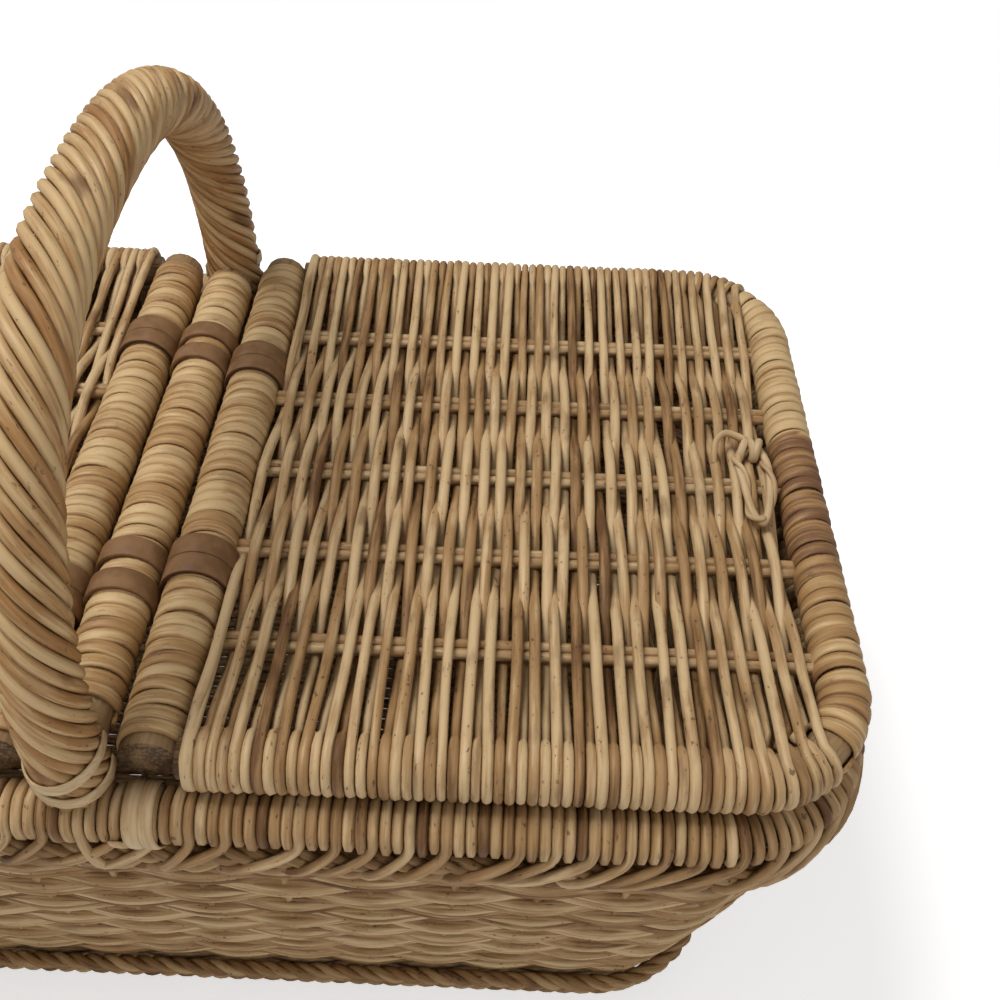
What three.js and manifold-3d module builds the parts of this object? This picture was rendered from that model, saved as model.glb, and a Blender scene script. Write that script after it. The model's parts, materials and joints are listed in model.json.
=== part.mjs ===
// A two-lid wicker picnic basket with a twisted hoop handle, in millimetres, +Z up.
// The origin is on the floor under the middle of the basket. X runs along its length and +Y to its back.
import * as THREE from "three";
import { mergeVertices } from "three/addons/utils/BufferGeometryUtils.js";
import Module from "manifold-3d";

const wasm = await Module();
wasm.setup();

// Driving dimensions: fits
const CLEARANCE = 0.3; // between pieces that touch
const RUNNING = 0.5; // between a turning piece and what holds it

// Driving dimensions: body
const RIM_LENGTH = 506; // the top border's plan, on its centre line
const RIM_WIDTH = 284;
const RIM_CORNER = 48;
const RIM_HEIGHT = 186; // of the top border's centre line above the floor
const RIM_RADIUS = 10;
const BASE_LENGTH = 430; // the wall's plan at the floor, on its centre line
const BASE_WIDTH = 224;
const BASE_CORNER = 40;
const BASE_THICKNESS = 8;
const BASE_LIFT = 4; // the base panel's underside above the floor
const WALL_THICKNESS = 8;
const WALL_BELLY = 5; // how far the wall swells outwards at half its height
const WALL_RELIEF = 2.4; // how far the weave moves in and out between two stakes
const WALL_BANDS = 7;
const CORNER_STAKES = 3; // steps from stake to stake round a corner
const LONG_STAKES = 11; // stakes between two corners, along the sides
const SHORT_STAKES = 5; // the same across the ends
const FOOT_HEIGHT = 14;
const FOOT_WIDTH = 16;
const FOOT_FLAT = 9; // the flat that the basket stands on
const WALE_HEIGHT = 13; // a band of heavier rods round the wall
const WALE_BULGE = 5;

// Driving dimensions: bars and bindings
const BAR_RADIUS = 9.5;
const BAR_OVERHANG = 1.5; // how far a lid's bar reaches past the line of its hoop
const BINDING_THICKNESS = 1.2;
const BINDING_TURNS = 18;
const TURN_GAP = 0.6; // between two turns of a binding
const TURN_STEPS = 8; // also the sides of every bound rod

// Driving dimensions: lids
const LID_INSET = 9; // from the top border's centre line in to the lid hoop's, along the long sides
const LID_END_INSET = 2; // the same at the basket's ends
const HOOP_RADIUS = 7;
const HOOP_CORNER = 38;
const BORDER_RADIUS = 10.4; // the woven edge that rolls round the hoop
const WEAVE_THICKNESS = 10; // over the crowns, where weavers cross the stakes
const WEAVE_RELIEF = 1.9; // how much lower the field lies where a weaver passes under
const WEAVE_WAIST = 5.2; // thickness between two rows of stakes
const WEAVE_COLUMNS = 15;
const STAKE_RADIUS = 2;
const STAKE_OVERLAP = 0.2; // how far the two rods of a pair press into one another
const STAKE_PAIRS = 5;
const STAKE_MARGIN = 47; // from the hoop's line in to the first row of stakes

// Driving dimensions: leather hinges
const STRAP_WIDTH = 11;
const STRAP_THICKNESS = 1.8;
const STRAP_GAP = 4; // between the two lids' straps on the middle bar

// Driving dimensions: pull loops
const LOOP_LENGTH = 40;
const LOOP_WIDTH = 17;
const LOOP_CORNER = 6;
const LOOP_RADIUS = 1.8;
const LOOP_FROM_END = 19; // from the hoop's end in to the loop's middle
const LOOP_OFFSET = 14; // from the basket's centre line to the knot
const KNOT_RADIUS = 1.6;

// Driving dimensions: handle
const HANDLE_INSET = 7; // from the top border's centre line in to the handle's foot
const HANDLE_RISE = 130; // from the hinge axis to the crown's centre line
const HANDLE_SQUARENESS = 2.4; // 2 is an ellipse, more is squarer
const HANDLE_RADIUS = 12.6;
const HANDLE_RODS = 12;
const ROD_GROOVE = 1.7; // depth of the groove between two rods
const ROD_LAY = 80; // length of one full twist
const HANDLE_STEPS = 38;
const BOW_RADIUS = 6.5;
const BOW_FOOT = 70; // height of the bow's lower ends above the floor
const LASHING_LENGTH = 17;
const LASHING_TURNS = 3;

// Facets
const CORNER_STEPS = 6;
const CORD_SIDES = 6;

// Worked out sizes
const FACET_EASE = 1 / Math.cos(Math.PI / TURN_STEPS);
const BINDING_INNER = BAR_RADIUS + CLEARANCE * FACET_EASE;
const BOUND_BAR = BINDING_INNER + BINDING_THICKNESS;
// Between two bound bars there is room for one strap
const HINGE_X = 2 * BOUND_BAR + STRAP_THICKNESS + 2 * RUNNING;
const HOOP_HALF = RIM_WIDTH / 2 - LID_INSET;
const HOOP_END = RIM_LENGTH / 2 - LID_END_INSET;
const STAKE_SPACING = (2 * (HOOP_HALF - STAKE_MARGIN)) / (STAKE_PAIRS - 1);
const HOOP_START = HINGE_X + BAR_RADIUS + CLEARANCE; // its ends butt against the lid's bar
const HOOP_RUN = HOOP_END - HOOP_CORNER - HOOP_START;
const HOOP_BEND = (HOOP_CORNER * Math.PI) / 2;
const HOOP_FRONT = 2 * (HOOP_HALF - HOOP_CORNER);
const HOOP_LENGTH = 2 * HOOP_RUN + 2 * HOOP_BEND + HOOP_FRONT;
// The lid's rolled edge ends where the border below it starts to turn, and the end binding takes over
const ROLL_END = Math.min(HOOP_END - HOOP_CORNER, RIM_LENGTH / 2 - RIM_CORNER) - TURN_GAP;
const END_BINDING_START = ROLL_END + TURN_GAP - HOOP_START;
const END_TURN = (HOOP_LENGTH - 2 * END_BINDING_START) / (BINDING_TURNS + 1);
// How far a flat turn stands off the hoop in a bend
const BEND_EASE = (HOOP_CORNER + HOOP_RADIUS) * (1 - Math.cos(END_TURN / (2 * HOOP_CORNER)));
const HOOP_BINDING_INNER = HOOP_RADIUS + BEND_EASE + CLEARANCE * FACET_EASE;
const BOUND_HOOP = HOOP_BINDING_INNER + BINDING_THICKNESS;
const BORDER_REACH = RIM_RADIUS + BORDER_RADIUS + CLEARANCE;
const HINGE_HEIGHT =
  RIM_HEIGHT +
  Math.max(
    RIM_RADIUS + BAR_RADIUS + CLEARANCE,
    RIM_RADIUS + BOUND_HOOP + CLEARANCE,
    Math.sqrt(BORDER_REACH ** 2 - LID_INSET ** 2),
  );
const WALL_BOTTOM = FOOT_HEIGHT + CLEARANCE;
const WALL_TOP = RIM_HEIGHT - RIM_RADIUS - CLEARANCE;
const STRAP_INNER = BOUND_BAR + RUNNING;
const STRAP_OUTER = STRAP_INNER + STRAP_THICKNESS;
const WEAVE_START = HINGE_X + STRAP_OUTER + RUNNING;
const WEAVE_INSET = BOUND_HOOP + BEND_EASE + CLEARANCE; // from the hoop's line in to the lid's field
const WEAVE_END = HOOP_END - WEAVE_INSET;
const HANDLE_HALF = RIM_WIDTH / 2 - HANDLE_INSET;
const LASHING_START = HANDLE_RADIUS + CLEARANCE;
const LASHING_END = LASHING_START + LASHING_LENGTH;
const LASHING_INNER = RIM_RADIUS + CLEARANCE * FACET_EASE;
const LOOP_X = HOOP_END - LOOP_FROM_END;
const LOOP_Z = HINGE_HEIGHT + WEAVE_THICKNESS / 2 + CLEARANCE + LOOP_RADIUS;

const willow = new THREE.MeshStandardMaterial({ color: 0xb89a68, roughness: 0.7, metalness: 0 });
const oldWillow = new THREE.MeshStandardMaterial({ color: 0x9a7c50, roughness: 0.75, metalness: 0 });
const cane = new THREE.MeshStandardMaterial({ color: 0xc09a5e, roughness: 0.6, metalness: 0 });
const stick = new THREE.MeshStandardMaterial({ color: 0x8a6a43, roughness: 0.8, metalness: 0 });
const leather = new THREE.MeshStandardMaterial({ color: 0x6b4a33, roughness: 0.55, metalness: 0 });

const vec = (x, y, z) => new THREE.Vector3(x, y, z);
const X_AXIS = vec(1, 0, 0);

function named(name, geometry, material) {
  const mesh = new THREE.Mesh(geometry, material);
  mesh.name = name;
  return mesh;
}

// Solids, cuts and joins
function solidOf(geometry) {
  const bare = geometry.clone();
  bare.deleteAttribute("normal");
  bare.deleteAttribute("uv");
  const merged = mergeVertices(bare, 1e-3);
  const vertProperties = new Float32Array(merged.attributes.position.array);
  const triVerts = new Uint32Array(merged.index.array);
  return new wasm.Manifold(new wasm.Mesh({ numProp: 3, vertProperties, triVerts }));
}

function geometryOf(solid) {
  const mesh = solid.getMesh();
  const geometry = new THREE.BufferGeometry();
  geometry.setAttribute("position", new THREE.BufferAttribute(mesh.vertProperties, 3));
  geometry.setIndex(new THREE.BufferAttribute(mesh.triVerts, 1));
  return geometry;
}

const cut = (body, ...tools) =>
  geometryOf(tools.reduce((left, tool) => left.subtract(solidOf(tool)), solidOf(body)));

const join = (...bodies) =>
  geometryOf(bodies.map(solidOf).reduce((whole, body) => whole.add(body)));

const within = (body, bounds) => geometryOf(solidOf(body).intersect(solidOf(bounds)));

// Joins rings of points into one closed surface: a ring of rings, or a run with a cap at each end.
function loft(rings, isLoop) {
  const around = rings[0].length;
  const points = rings.flat();
  const index = [];
  for (let i = 0; i < rings.length - (isLoop ? 0 : 1); i++) {
    const here = i * around;
    const next = ((i + 1) % rings.length) * around;
    for (let j = 0; j < around; j++) {
      const k = (j + 1) % around;
      index.push(here + j, here + k, next + k, here + j, next + k, next + j);
    }
  }
  if (!isLoop) {
    [0, rings.length - 1].forEach((i) => {
      const centre = rings[i].reduce((sum, p) => sum.add(p), vec(0, 0, 0)).divideScalar(around);
      const hub = points.push(centre) - 1;
      for (let j = 0; j < around; j++) {
        const edge = [i * around + j, i * around + ((j + 1) % around)];
        index.push(hub, ...(i === 0 ? edge.reverse() : edge));
      }
    });
  }
  const volume = index.reduce((sum, _, n) => {
    if (n % 3) return sum;
    const [a, b, c] = [index[n], index[n + 1], index[n + 2]].map((v) => points[v]);
    return sum + a.dot(b.clone().cross(c));
  }, 0);
  if (volume < 0) index.reverse();
  return new THREE.BufferGeometry().setFromPoints(points).setIndex(index);
}

const turnAngles = (sides, start = 0) =>
  Array.from({ length: sides }, (_, j) => start + (2 * Math.PI * j) / sides);

// A plan is a rectangle with round corners, grown outwards by an offset
function planLoop(plan, offset, z, steps = CORNER_STEPS) {
  const corner = plan.corner + offset;
  const x = plan.length / 2 - plan.corner;
  const y = plan.width / 2 - plan.corner;
  const centres = [vec(x, y, z), vec(-x, y, z), vec(-x, -y, z), vec(x, -y, z)];
  return centres.flatMap((centre, k) =>
    Array.from({ length: steps + 1 }, (_, i) => {
      const angle = ((k + i / steps) * Math.PI) / 2;
      return vec(corner * Math.cos(angle), corner * Math.sin(angle), 0).add(centre);
    }),
  );
}

const basePlan = { length: BASE_LENGTH, width: BASE_WIDTH, corner: BASE_CORNER };
const rimPlan = { length: RIM_LENGTH, width: RIM_WIDTH, corner: RIM_CORNER };

// The wall's plan at a height: it flares from the base to the rim and swells a little between
function wallPlan(z) {
  const t = z / RIM_HEIGHT;
  const belly = 2 * WALL_BELLY * Math.sin(Math.PI * t);
  return {
    length: THREE.MathUtils.lerp(BASE_LENGTH, RIM_LENGTH, t) + belly,
    width: THREE.MathUtils.lerp(BASE_WIDTH, RIM_WIDTH, t) + belly,
    corner: THREE.MathUtils.lerp(BASE_CORNER, RIM_CORNER, t),
  };
}

// Sweeps a section, given as loops that lie round the basket, into a ring
const ringOf = (loops) => loft(loops[0].map((_, i) => loops.map((loop) => loop[i])), true);

// Body

function makeBasePanel() {
  const inset = -FOOT_WIDTH / 2 - CLEARANCE;
  const outline = planLoop(basePlan, inset, 0).map((p) => new THREE.Vector2(p.x, p.y));
  const panel = new THREE.ExtrudeGeometry(new THREE.Shape(outline), {
    depth: BASE_THICKNESS,
    bevelEnabled: false,
  });
  return panel.translate(0, 0, BASE_LIFT);
}

function makeFootBorder() {
  const shoulder = FOOT_HEIGHT / 2;
  const section = [
    [-FOOT_FLAT / 2, 0],
    [FOOT_FLAT / 2, 0],
    [FOOT_WIDTH / 2, shoulder],
    [FOOT_FLAT / 2, FOOT_HEIGHT],
    [-FOOT_FLAT / 2, FOOT_HEIGHT],
    [-FOOT_WIDTH / 2, shoulder],
  ];
  return ringOf(section.map(([offset, z]) => planLoop(basePlan, offset, z)));
}

// A plan's loop with a point at every stake
function stakeLoop(plan, offset, z) {
  const bends = planLoop(plan, offset, z, CORNER_STAKES);
  return bends.flatMap((point, i) => {
    if ((i + 1) % (CORNER_STAKES + 1)) return [point];
    const next = bends[(i + 1) % bends.length];
    const isLong = Math.floor(i / (CORNER_STAKES + 1)) % 2 === 0;
    const gaps = 1 + (isLong ? LONG_STAKES : SHORT_STAKES);
    return Array.from({ length: gaps }, (_, j) => point.clone().lerp(next, j / gaps));
  });
}

// The wall is woven: from band to band and from stake to stake it lies outside and inside in turn
function makeSideWall(tools) {
  const levels = Array.from({ length: WALL_BANDS + 1 }, (_, band) =>
    THREE.MathUtils.lerp(WALL_BOTTOM, WALL_TOP, band / WALL_BANDS),
  );
  const skin = (offset) =>
    levels.map((z, band) => {
      const inside = stakeLoop(wallPlan(z), offset, z);
      const outside = stakeLoop(wallPlan(z), offset + WALL_RELIEF, z);
      return inside.map((point, i) => ((i + band) % 2 ? outside[i] : point));
    });
  const half = WALL_THICKNESS / 2;
  return cut(ringOf([...skin(half - WALL_RELIEF), ...skin(-half).reverse()]), ...tools);
}

function makeWale(middle) {
  const inner = WALL_THICKNESS / 2 + CLEARANCE;
  const bulge = [-0.5, -0.25, 0, 0.25, 0.5].map((t) => [
    inner + WALE_BULGE * Math.cos(Math.PI * t),
    middle + WALE_HEIGHT * t,
  ]);
  const back = [...bulge].reverse().slice(1, -1).map(([, z]) => [inner, z]);
  return ringOf([...bulge, ...back].map(([offset, z]) => planLoop(wallPlan(z), offset, z)));
}

function makeTopBorder(tools) {
  const loops = turnAngles(TURN_STEPS).map((a) =>
    planLoop(rimPlan, RIM_RADIUS * Math.cos(a), RIM_HEIGHT + RIM_RADIUS * Math.sin(a)),
  );
  return cut(ringOf(loops), ...tools);
}

// Windings: place(run, angle, radius) gives a point round the bound rod, run along it

function winding(name, place, start, end, turns, inner) {
  const width = (end - start - turns * TURN_GAP) / (turns + 1);
  const pitch = width + TURN_GAP;
  const outer = inner + BINDING_THICKNESS;
  const rings = [];
  for (let i = 0; i <= turns * TURN_STEPS; i++) {
    const angle = (2 * Math.PI * i) / TURN_STEPS;
    const near = start + (pitch * i) / TURN_STEPS;
    const far = near + width;
    const corners = [
      [near, inner],
      [far, inner],
      [far, outer],
      [near, outer],
    ];
    rings.push(corners.map(([run, radius]) => place(run, angle, radius)));
  }
  const gaps = rings.slice(TURN_STEPS).flatMap((ring, i) => [
    ring[0].distanceTo(rings[i][1]),
    ring[3].distanceTo(rings[i][2]),
  ]);
  console.log(`${name}: least gap between turns ${Math.min(...gaps).toFixed(2)} mm`);
  return loft(rings, false);
}

const roundBar = (x) => (run, angle, radius) =>
  vec(x + radius * Math.cos(angle), run, HINGE_HEIGHT + radius * Math.sin(angle));

function bar(x, halfLength, radius) {
  const place = roundBar(x);
  const ends = [-halfLength, halfLength];
  return loft(ends.map((run) => turnAngles(TURN_STEPS).map((a) => place(run, a, radius))), false);
}

const barBinding = (name, x, half) =>
  winding(name, roundBar(x), -half, half, BINDING_TURNS, BINDING_INNER);

// Handle: a bow bent over the basket, sleeved in twisted rods

class HandleArch extends THREE.Curve {
  constructor(footLift) {
    super();
    this.first = Math.asin((footLift / HANDLE_RISE) ** (HANDLE_SQUARENESS / 2));
  }
  getPoint(t, target = vec(0, 0, 0)) {
    const angle = THREE.MathUtils.lerp(this.first, Math.PI - this.first, t);
    const power = 2 / HANDLE_SQUARENESS;
    const across = Math.sign(Math.cos(angle)) * Math.abs(Math.cos(angle)) ** power;
    return target.set(0, HANDLE_HALF * across, HINGE_HEIGHT + HANDLE_RISE * Math.sin(angle) ** power);
  }
}

// A frame holds a point of the handle's line and the in-plane direction square to it
function archFrames(footLift, steps) {
  const arch = new HandleArch(footLift);
  return arch.getSpacedPoints(steps).map((centre, i) => {
    const along = arch.getTangentAt(i / steps);
    return { centre, side: X_AXIS.clone().cross(along) };
  });
}

// The bow's leg runs down inside the wall, clear of it
function legFrames(sign) {
  const inside = (z) =>
    wallPlan(z).width / 2 - WALL_THICKNESS / 2 - BOW_RADIUS - 2 * CLEARANCE;
  const middle = (BOW_FOOT + WALL_TOP) / 2;
  const heights = [BOW_FOOT, middle, WALL_TOP];
  const points = heights.map((z) => vec(0, sign * inside(z), z));
  points.push(vec(0, sign * HANDLE_HALF, HINGE_HEIGHT));
  return points.map((centre, i) => {
    const next = points[Math.min(i + 1, points.length - 1)];
    const before = points[Math.max(i - 1, 0)];
    const along = i === points.length - 1 ? vec(0, 0, 1) : next.clone().sub(before).normalize();
    return { centre, side: X_AXIS.clone().cross(along) };
  });
}

const section = (frame, angle, radius) =>
  frame.centre
    .clone()
    .addScaledVector(X_AXIS, radius * Math.cos(angle))
    .addScaledVector(frame.side, radius * Math.sin(angle));

const pipe = (frames, radius) =>
  loft(frames.map((frame) => turnAngles(TURN_STEPS).map((a) => section(frame, a, radius))), false);

const reversed = (frames) =>
  frames.map(({ centre, side }) => ({ centre, side: side.clone().negate() })).reverse();

const rodsFoot = BAR_RADIUS + CLEARANCE;
const arch = archFrames(rodsFoot, HANDLE_STEPS);
const backLeg = legFrames(1);
const frontLeg = legFrames(-1);

// The holes that the bow's legs need in what they pass through
const legTools = [
  pipe([...backLeg, arch[0], arch[1]], BOW_RADIUS + CLEARANCE),
  pipe([...frontLeg, ...reversed(arch.slice(-2))], BOW_RADIUS + CLEARANCE),
];

function makeBow() {
  return pipe([...backLeg, ...arch, ...reversed(frontLeg)], BOW_RADIUS);
}

function makeHandleRods() {
  const arcStep = new HandleArch(rodsFoot).getLength() / HANDLE_STEPS;
  const rings = arch.map((frame, i) => {
    const twist = (2 * Math.PI * i * arcStep) / ROD_LAY;
    return turnAngles(2 * HANDLE_RODS, twist).map((angle, j) =>
      section(frame, angle, j % 2 ? HANDLE_RADIUS - ROD_GROOVE : HANDLE_RADIUS),
    );
  });
  const past = (frame, by) => ({ ...frame, centre: frame.centre.clone().add(vec(0, 0, -by)) });
  const ends = [past(arch[0], BAR_RADIUS), past(arch[HANDLE_STEPS], BAR_RADIUS)];
  const bore = pipe([ends[0], ...arch, ends[1]], BOW_RADIUS + CLEARANCE);
  return cut(loft(rings, false), bore);
}

// A point round the top border beside the handle's foot, at the front for 1 and the back for -1
const roundRim = (sign) => (run, angle, radius) =>
  vec(
    sign * run,
    sign * (radius * Math.cos(angle) - RIM_WIDTH / 2),
    RIM_HEIGHT + radius * Math.sin(angle),
  );

const makeLashing = (name, sign) =>
  winding(name, roundRim(sign), LASHING_START, LASHING_END, LASHING_TURNS, LASHING_INNER);

// The room that the lashings need in the wall under the border
const lashingTools = [1, -1].map((sign) => {
  const place = roundRim(sign);
  const radius = LASHING_INNER + BINDING_THICKNESS + RUNNING;
  const runs = [LASHING_START - CLEARANCE, LASHING_END + CLEARANCE];
  return loft(runs.map((run) => turnAngles(TURN_STEPS).map((a) => place(run, a, radius))), false);
});

// Lids: each is built on the basket's right and turned half round for the left

// A point round the hoop: it runs out along the front, round the end and back along the rear
function aroundHoop(run, angle, radius) {
  const x = HOOP_END - HOOP_CORNER;
  const y = HOOP_HALF - HOOP_CORNER;
  const bend = (from, centre) => {
    const turn = from + (run - marks[from === 0 ? 2 : 0]) / HOOP_CORNER;
    const out = vec(Math.cos(turn), Math.sin(turn), 0);
    return { centre: centre.addScaledVector(out, HOOP_CORNER), out };
  };
  const marks = [HOOP_RUN, HOOP_RUN + HOOP_BEND, HOOP_RUN + HOOP_BEND + HOOP_FRONT, HOOP_LENGTH - HOOP_RUN];
  let place;
  if (run < marks[0]) place = { centre: vec(x - marks[0] + run, -HOOP_HALF, 0), out: vec(0, -1, 0) };
  else if (run < marks[1]) place = bend(-Math.PI / 2, vec(x, -y, 0));
  else if (run < marks[2]) place = { centre: vec(HOOP_END, run - marks[1] - y, 0), out: vec(1, 0, 0) };
  else if (run < marks[3]) place = bend(0, vec(x, y, 0));
  else place = { centre: vec(x - run + marks[3], HOOP_HALF, 0), out: vec(0, 1, 0) };
  return place.centre
    .addScaledVector(place.out, radius * Math.cos(angle))
    .add(vec(0, 0, HINGE_HEIGHT + radius * Math.sin(angle)));
}

function hoopPipe(radius) {
  const bendRuns = (start) =>
    Array.from({ length: CORNER_STEPS + 1 }, (_, i) => start + (HOOP_BEND * i) / CORNER_STEPS);
  const runs = [0, ...bendRuns(HOOP_RUN), ...bendRuns(HOOP_RUN + HOOP_BEND + HOOP_FRONT), HOOP_LENGTH];
  return loft(runs.map((run) => turnAngles(TURN_STEPS).map((a) => aroundHoop(run, a, radius))), false);
}

function stakePair(y, start, end, radius) {
  const offset = STAKE_RADIUS - STAKE_OVERLAP;
  const neck = Math.acos(-offset / radius);
  const outline = new THREE.Shape();
  outline.absarc(offset, 0, radius, -neck, neck, false);
  outline.absarc(-offset, 0, radius, Math.PI - neck, Math.PI + neck, false);
  const options = { depth: end - start, bevelEnabled: false, curveSegments: 5 };
  const pair = new THREE.ExtrudeGeometry(outline, options);
  pair.rotateZ(Math.PI / 2).rotateY(Math.PI / 2);
  return pair.translate(start, y, HINGE_HEIGHT);
}

const stakeRows = Array.from(
  { length: STAKE_PAIRS },
  (_, i) => (i - (STAKE_PAIRS - 1) / 2) * STAKE_SPACING,
);

// The field's weave: crowned and dipped in turn on every row of stakes, and thin between the rows
function weaveRelief() {
  const edge = { y: HOOP_HALF, over: WEAVE_THICKNESS / 2, under: WEAVE_THICKNESS / 2 };
  const crown = { over: WEAVE_THICKNESS / 2, under: WEAVE_THICKNESS / 2 - WEAVE_RELIEF };
  const waist = { over: WEAVE_WAIST / 2, under: WEAVE_WAIST / 2 };
  const crossings = stakeRows.flatMap((y, row) => {
    const side = row % 2 ? { over: crown.under, under: crown.over } : crown;
    return row ? [{ ...waist, y: y - STAKE_SPACING / 2 }, { ...side, y }] : [{ ...side, y }];
  });
  const stations = [{ ...edge, y: -HOOP_HALF }, ...crossings, edge];
  const lines = Array.from({ length: WEAVE_COLUMNS + 1 }, (_, i) => {
    const x = THREE.MathUtils.lerp(WEAVE_START - RUNNING, WEAVE_END + RUNNING, i / WEAVE_COLUMNS);
    const [top, bottom] = i % 2 ? ["over", "under"] : ["under", "over"];
    const upper = stations.map((s) => vec(x, s.y, HINGE_HEIGHT + s[top]));
    const lower = stations.map((s) => vec(x, s.y, HINGE_HEIGHT - s[bottom])).reverse();
    return [...upper, ...lower];
  });
  return loft(lines, false);
}

function makeWeave(knotTool) {
  const inner = HOOP_HALF - WEAVE_INSET;
  const corner = HOOP_CORNER - WEAVE_INSET;
  const outline = new THREE.Shape();
  outline.moveTo(WEAVE_START, -HOOP_HALF);
  outline.lineTo(ROLL_END, -HOOP_HALF);
  outline.lineTo(ROLL_END, -inner);
  outline.absarc(WEAVE_END - corner, corner - inner, corner, -Math.PI / 2, 0, false);
  outline.absarc(WEAVE_END - corner, inner - corner, corner, 0, Math.PI / 2, false);
  outline.lineTo(ROLL_END, inner);
  outline.lineTo(ROLL_END, HOOP_HALF);
  outline.lineTo(WEAVE_START, HOOP_HALF);
  const options = { depth: 2 * WEAVE_THICKNESS, bevelEnabled: false, curveSegments: CORNER_STEPS };
  const bounds = new THREE.ExtrudeGeometry(outline, options);
  bounds.translate(0, 0, HINGE_HEIGHT - WEAVE_THICKNESS);
  const field = within(weaveRelief(), bounds);
  const rolls = [-1, 1].map((sign) => {
    const length = ROLL_END - WEAVE_START;
    const roll = new THREE.CylinderGeometry(BORDER_RADIUS, BORDER_RADIUS, length, 16);
    roll.rotateZ(Math.PI / 2);
    return roll.translate(WEAVE_START + length / 2, sign * HOOP_HALF, HINGE_HEIGHT);
  });
  const channels = stakeRows.map((y) =>
    stakePair(y, WEAVE_START - RUNNING, WEAVE_END + RUNNING, STAKE_RADIUS + CLEARANCE),
  );
  return cut(join(field, ...rolls), hoopPipe(HOOP_RADIUS + CLEARANCE), ...channels, knotTool);
}

function makeLoop() {
  const middle = LOOP_OFFSET - LOOP_LENGTH / 2;
  const plan = { length: LOOP_WIDTH, width: LOOP_LENGTH, corner: LOOP_CORNER };
  const loops = turnAngles(CORD_SIDES).map((a) =>
    planLoop(plan, LOOP_RADIUS * Math.cos(a), LOOP_Z + LOOP_RADIUS * Math.sin(a), CORNER_STEPS / 2),
  );
  return ringOf(loops).translate(LOOP_X, middle, 0);
}

// The knot is a hoop of cane over the loop's back, with both ends down through the weave
function makeKnot(radius, reach) {
  const span = LOOP_RADIUS + RUNNING + KNOT_RADIUS;
  const low = HINGE_HEIGHT - WEAVE_THICKNESS / 2 - reach;
  const bends = Array.from({ length: CORNER_STEPS + 1 }, (_, i) => (Math.PI * i) / CORNER_STEPS);
  const frames = bends.map((turn) => {
    const out = vec(0, Math.cos(turn), Math.sin(turn));
    return { centre: vec(LOOP_X, LOOP_OFFSET, LOOP_Z).addScaledVector(out, span), side: out };
  });
  const foot = (frame) => ({ ...frame, centre: frame.centre.clone().setZ(low) });
  const run = [foot(frames[0]), ...frames, foot(frames[CORNER_STEPS])];
  return loft(run.map((f) => turnAngles(CORD_SIDES).map((a) => section(f, a, radius))), false);
}

function makeLid(side) {
  const lid = new THREE.Group();
  const boundHalf = HOOP_HALF - HOOP_RADIUS - CLEARANCE;
  const stakeStart = HINGE_X + BOUND_BAR + CLEARANCE;
  lid.add(
    named(`lid_bar_${side}`, bar(HINGE_X, HOOP_HALF + BAR_OVERHANG, BAR_RADIUS), stick),
    named(
      `lid_bar_binding_${side}`,
      barBinding(`lid_bar_binding_${side}`, HINGE_X, boundHalf),
      cane,
    ),
    named(`lid_hoop_${side}`, hoopPipe(HOOP_RADIUS), stick),
    named(
      `lid_end_binding_${side}`,
      winding(
        `lid_end_binding_${side}`,
        aroundHoop,
        END_BINDING_START,
        HOOP_LENGTH - END_BINDING_START,
        BINDING_TURNS,
        HOOP_BINDING_INNER,
      ),
      cane,
    ),
    named(`lid_weave_${side}`, makeWeave(makeKnot(KNOT_RADIUS + CLEARANCE, RUNNING)), willow),
    named(`pull_loop_${side}`, makeLoop(), cane),
    named(`pull_loop_knot_${side}`, makeKnot(KNOT_RADIUS, 0), cane),
  );
  stakeRows.forEach((y, i) => {
    const pair = stakePair(y, stakeStart, WEAVE_END, STAKE_RADIUS);
    lid.add(named(`lid_stake_pair_${i + 1}_${side}`, pair, oldWillow));
  });
  return lid;
}

// Leather straps: each is laced in a figure of eight round the middle bar and one lid's bar
function strap(x, y) {
  const reach = Math.abs(x) / 2;
  const waist = Math.acos(-reach / STRAP_OUTER);
  const outline = new THREE.Shape();
  outline.absarc(reach, 0, STRAP_OUTER, -waist, waist, false);
  outline.absarc(-reach, 0, STRAP_OUTER, Math.PI - waist, Math.PI + waist, false);
  [-reach, reach].forEach((centre) => {
    outline.holes.push(new THREE.Path().absarc(centre, 0, STRAP_INNER, 0, 2 * Math.PI, false));
  });
  const options = { depth: STRAP_WIDTH, bevelEnabled: false, curveSegments: 10 };
  const geometry = new THREE.ExtrudeGeometry(outline, options);
  geometry.rotateX(Math.PI / 2);
  return geometry.translate(x / 2, y + STRAP_WIDTH / 2, HINGE_HEIGHT);
}

// Assembly

const middleBarHalf = RIM_WIDTH / 2;
const middleBoundHalf = HANDLE_HALF - HANDLE_RADIUS - RUNNING;
const lidRight = makeLid("right");
const lidLeft = makeLid("left");
lidLeft.rotation.z = Math.PI;

const basket = new THREE.Group();
basket.add(
  named("base_panel", makeBasePanel(), oldWillow),
  named("foot_border", makeFootBorder(), oldWillow),
  named("side_wall", makeSideWall([...legTools, ...lashingTools]), willow),
  named("lower_wale", makeWale(WALL_BOTTOM + WALE_HEIGHT / 2), oldWillow),
  named("upper_wale", cut(makeWale(WALL_TOP - WALE_HEIGHT / 2), ...lashingTools), oldWillow),
  named("top_border", makeTopBorder(legTools), willow),
  named("handle_bow", makeBow(), stick),
  named("handle_rods", makeHandleRods(), willow),
  named("handle_lashing_front", makeLashing("handle_lashing_front", 1), cane),
  named("handle_lashing_back", makeLashing("handle_lashing_back", -1), cane),
  named("middle_bar", cut(bar(0, middleBarHalf, BAR_RADIUS), ...legTools), stick),
  named("middle_bar_binding", barBinding("middle_bar_binding", 0, middleBoundHalf), cane),
  lidRight,
  lidLeft,
);

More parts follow.
